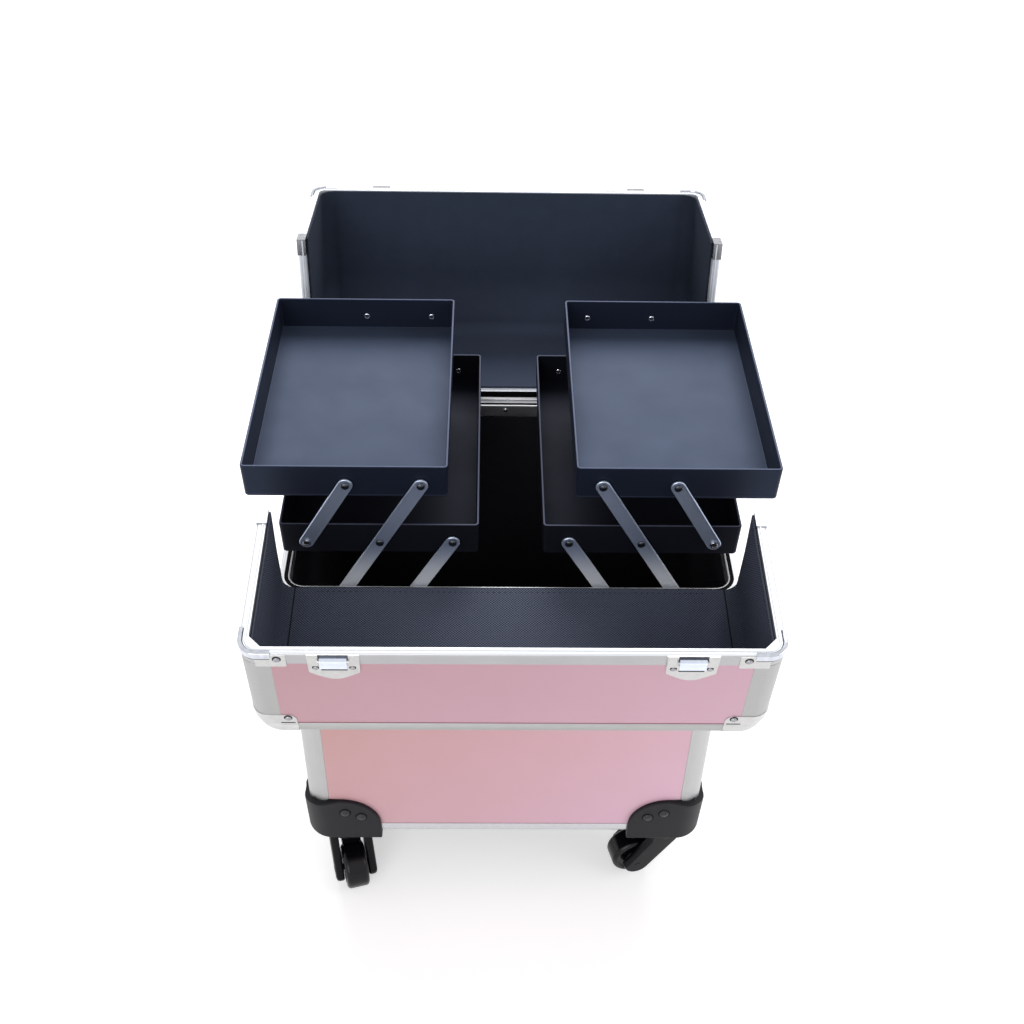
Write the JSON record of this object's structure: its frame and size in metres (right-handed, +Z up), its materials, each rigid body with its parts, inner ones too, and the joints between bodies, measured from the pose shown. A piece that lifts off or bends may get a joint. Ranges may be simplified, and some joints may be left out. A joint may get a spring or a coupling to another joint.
{
  "type": "rolling makeup case",
  "caption": "Upright hard case on swivel casters, standing open: hinged lid, front flap that lies forward as a trough, cantilever trays on folding arms, two latches, pull handle.",
  "frame": {"origin": "on the floor, under the middle of the open case", "axes": "+Z up, front of the case towards -Y, +X to the right as seen from the front"},
  "size_m": [0.393, 0.5394, 0.5566],
  "materials": {
    "pink_panel": "smooth satin laminate on board",
    "black_board": "matte",
    "aluminium_profile": "satin anodised",
    "bright_steel": "nickel plated",
    "lining": "diagonal weave",
    "arm_metal": "dull rolled strip",
    "tray_plastic": "matte",
    "black_plastic": "matte",
    "wheel": "smooth, semi-gloss",
    "button": "satin"
  },
  "bodies": {
    "case": {"body_front_panel": "pink_panel", "body_rear_panel": "pink_panel", "body_side_panels": "pink_panel", "body_bottom_panel": "black_board", "body_corner_posts": "aluminium_profile", "body_base_trim": "aluminium_profile", "body_rim": "aluminium_profile", "body_lining": "lining", "front_hinge": "bright_steel", "rear_hinge": "bright_steel", "arm_pivots": "arm_metal", "caster_brackets": "black_plastic", "bracket_rivets": "black_plastic", "handle_brackets": "black_plastic", "handle_tubes": "aluminium_profile"},
    "flap": {"flap_front_panel": "pink_panel", "flap_top_panel": "pink_panel", "flap_side_panels": "pink_panel", "flap_edge_profiles": "aluminium_profile", "flap_rim": "aluminium_profile", "flap_corner_plates": "bright_steel", "flap_rivets": "bright_steel", "flap_lining": "lining", "flap_hinge_leaf": "bright_steel", "latch_bases": "bright_steel"},
    "lid": {"lid_top_panel": "pink_panel", "lid_rear_panel": "pink_panel", "lid_side_panels": "pink_panel", "lid_edge_profiles": "aluminium_profile", "lid_rim": "aluminium_profile", "lid_corner_plates": "bright_steel", "lid_rivets": "bright_steel", "lid_lining": "lining", "lid_hinge_leaf": "bright_steel", "latch_catches": "bright_steel"},
    "latch_lever_left": {"latch_lever_left": "bright_steel"},
    "latch_lever_right": {"latch_lever_right": "bright_steel"},
    "handle": {"handle_rods": "aluminium_profile", "handle_grip": "black_plastic"},
    "handle_button": {"handle_button": "button"},
    "long_arms_left": {"long_arms_left": "arm_metal"},
    "lower_links_left": {"lower_links_left": "arm_metal"},
    "upper_links_left": {"upper_links_left": "arm_metal"},
    "lower_tray_left": {"lower_tray_left": "tray_plastic"},
    "upper_tray_left": {"upper_tray_left": "tray_plastic"},
    "long_arms_right": {"long_arms_right": "arm_metal"},
    "lower_links_right": {"lower_links_right": "arm_metal"},
    "upper_links_right": {"upper_links_right": "arm_metal"},
    "lower_tray_right": {"lower_tray_right": "tray_plastic"},
    "upper_tray_right": {"upper_tray_right": "tray_plastic"},
    "caster_fork_front_left": {"caster_fork_front_left": "black_plastic"},
    "caster_wheel_front_left": {"caster_wheel_front_left": "wheel"},
    "caster_fork_front_right": {"caster_fork_front_right": "black_plastic"},
    "caster_wheel_front_right": {"caster_wheel_front_right": "wheel"},
    "caster_fork_rear_left": {"caster_fork_rear_left": "black_plastic"},
    "caster_wheel_rear_left": {"caster_wheel_rear_left": "wheel"},
    "caster_fork_rear_right": {"caster_fork_rear_right": "black_plastic"},
    "caster_wheel_rear_right": {"caster_wheel_rear_right": "wheel"}
  },
  "joints": [
    {"name": "lid_hinge", "type": "hinge", "parent": "case", "child": "lid", "pos_m": [0, 0.12201, 0.4054], "axis": [1, 0, 0], "range_deg": [0, 12]},
    {"name": "flap_hinge", "type": "hinge", "parent": "case", "child": "flap", "pos_m": [0, -0.12869, 0.4054], "axis": [-1, 0, 0], "range_deg": [0, 12]},
    {"name": "latch_left_swing", "type": "hinge", "parent": "flap", "child": "latch_lever_left", "pos_m": [-0.118, -0.26703, 0.48249], "axis": [-1, 0, 0], "range_deg": [0, 110]},
    {"name": "latch_right_swing", "type": "hinge", "parent": "flap", "child": "latch_lever_right", "pos_m": [0.118, -0.26703, 0.48249], "axis": [-1, 0, 0], "range_deg": [0, 110]},
    {"name": "handle_slide", "type": "slide", "parent": "case", "child": "handle", "axis": [0, 0, 1], "range_m": [0, 0.03]},
    {"name": "handle_button_press", "type": "slide", "parent": "handle", "child": "handle_button", "axis": [0, 0, -1], "range_m": [0, 0.0025], "stiffness_N_per_m": 300, "springref_m": -0.001},
    {"name": "left_trays_fold", "type": "hinge", "parent": "case", "child": "long_arms_left", "pos_m": [-0.1315, -0.00334, 0.3925], "axis": [0, 1, 0], "range_deg": [0, 27.5]},
    {"name": "lower_links_left_pivot", "type": "hinge", "parent": "case", "child": "lower_links_left", "pos_m": [-0.0765, -0.00334, 0.3925], "axis": [0, 1, 0], "range_deg": [0, 27.5]},
    {"name": "lower_tray_left_pivot", "type": "hinge", "parent": "long_arms_left", "child": "lower_tray_left", "pos_m": [-0.099, -0.00334, 0.44879], "axis": [0, 1, 0], "range_deg": [-27.5, 0]},
    {"name": "upper_tray_left_pivot", "type": "hinge", "parent": "long_arms_left", "child": "upper_tray_left", "pos_m": [-0.0665, -0.00334, 0.50508], "axis": [0, 1, 0], "range_deg": [-27.5, 0]},
    {"name": "upper_links_left_pivot", "type": "hinge", "parent": "lower_tray_left", "child": "upper_links_left", "pos_m": [-0.154, -0.00334, 0.44879], "axis": [0, 1, 0], "range_deg": [0, 27.5]},
    {"name": "right_trays_fold", "type": "hinge", "parent": "case", "child": "long_arms_right", "pos_m": [0.1315, -0.00334, 0.3925], "axis": [0, -1, 0], "range_deg": [0, 27.5]},
    {"name": "lower_links_right_pivot", "type": "hinge", "parent": "case", "child": "lower_links_right", "pos_m": [0.0765, -0.00334, 0.3925], "axis": [0, -1, 0], "range_deg": [0, 27.5]},
    {"name": "lower_tray_right_pivot", "type": "hinge", "parent": "long_arms_right", "child": "lower_tray_right", "pos_m": [0.099, -0.00334, 0.44879], "axis": [0, -1, 0], "range_deg": [-27.5, 0]},
    {"name": "upper_tray_right_pivot", "type": "hinge", "parent": "long_arms_right", "child": "upper_tray_right", "pos_m": [0.0665, -0.00334, 0.50508], "axis": [0, -1, 0], "range_deg": [-27.5, 0]},
    {"name": "upper_links_right_pivot", "type": "hinge", "parent": "lower_tray_right", "child": "upper_links_right", "pos_m": [0.154, -0.00334, 0.44879], "axis": [0, -1, 0], "range_deg": [0, 27.5]},
    {"name": "caster_swivel_front_left", "type": "hinge", "parent": "case", "child": "caster_fork_front_left", "pos_m": [-0.151, -0.09409, 0.022], "axis": [0, 0, 1], "continuous": true},
    {"name": "wheel_spin_front_left", "type": "hinge", "parent": "caster_fork_front_left", "child": "caster_wheel_front_left", "pos_m": [-0.14427, -0.1192, 0.022], "axis": [0.9659, 0.2588, 0], "continuous": true},
    {"name": "caster_swivel_front_right", "type": "hinge", "parent": "case", "child": "caster_fork_front_right", "pos_m": [0.151, -0.09409, 0.022], "axis": [0, 0, 1], "continuous": true},
    {"name": "wheel_spin_front_right", "type": "hinge", "parent": "caster_fork_front_right", "child": "caster_wheel_front_right", "pos_m": [0.12589, -0.10082, 0.022], "axis": [0.2588, -0.9659, 0], "continuous": true},
    {"name": "caster_swivel_rear_left", "type": "hinge", "parent": "case", "child": "caster_fork_rear_left", "pos_m": [-0.151, 0.08741, 0.022], "axis": [0, 0, 1], "continuous": true},
    {"name": "wheel_spin_rear_left", "type": "hinge", "parent": "caster_fork_rear_left", "child": "caster_wheel_rear_left", "pos_m": [-0.14427, 0.11253, 0.022], "axis": [-0.9659, 0.2588, 0], "continuous": true},
    {"name": "caster_swivel_rear_right", "type": "hinge", "parent": "case", "child": "caster_fork_rear_right", "pos_m": [0.151, 0.08741, 0.022], "axis": [0, 0, 1], "continuous": true},
    {"name": "wheel_spin_rear_right", "type": "hinge", "parent": "caster_fork_rear_right", "child": "caster_wheel_rear_right", "pos_m": [0.14211, 0.11184, 0.022], "axis": [-0.9397, -0.342, 0], "continuous": true}
  ],
  "couplings": [
    {"joint": "lower_links_left_pivot", "follows": "left_trays_fold", "ratio": 1},
    {"joint": "lower_tray_left_pivot", "follows": "left_trays_fold", "ratio": -1},
    {"joint": "upper_tray_left_pivot", "follows": "left_trays_fold", "ratio": -1},
    {"joint": "upper_links_left_pivot", "follows": "left_trays_fold", "ratio": 1},
    {"joint": "lower_links_right_pivot", "follows": "right_trays_fold", "ratio": 1},
    {"joint": "lower_tray_right_pivot", "follows": "right_trays_fold", "ratio": -1},
    {"joint": "upper_tray_right_pivot", "follows": "right_trays_fold", "ratio": -1},
    {"joint": "upper_links_right_pivot", "follows": "right_trays_fold", "ratio": 1}
  ]
}
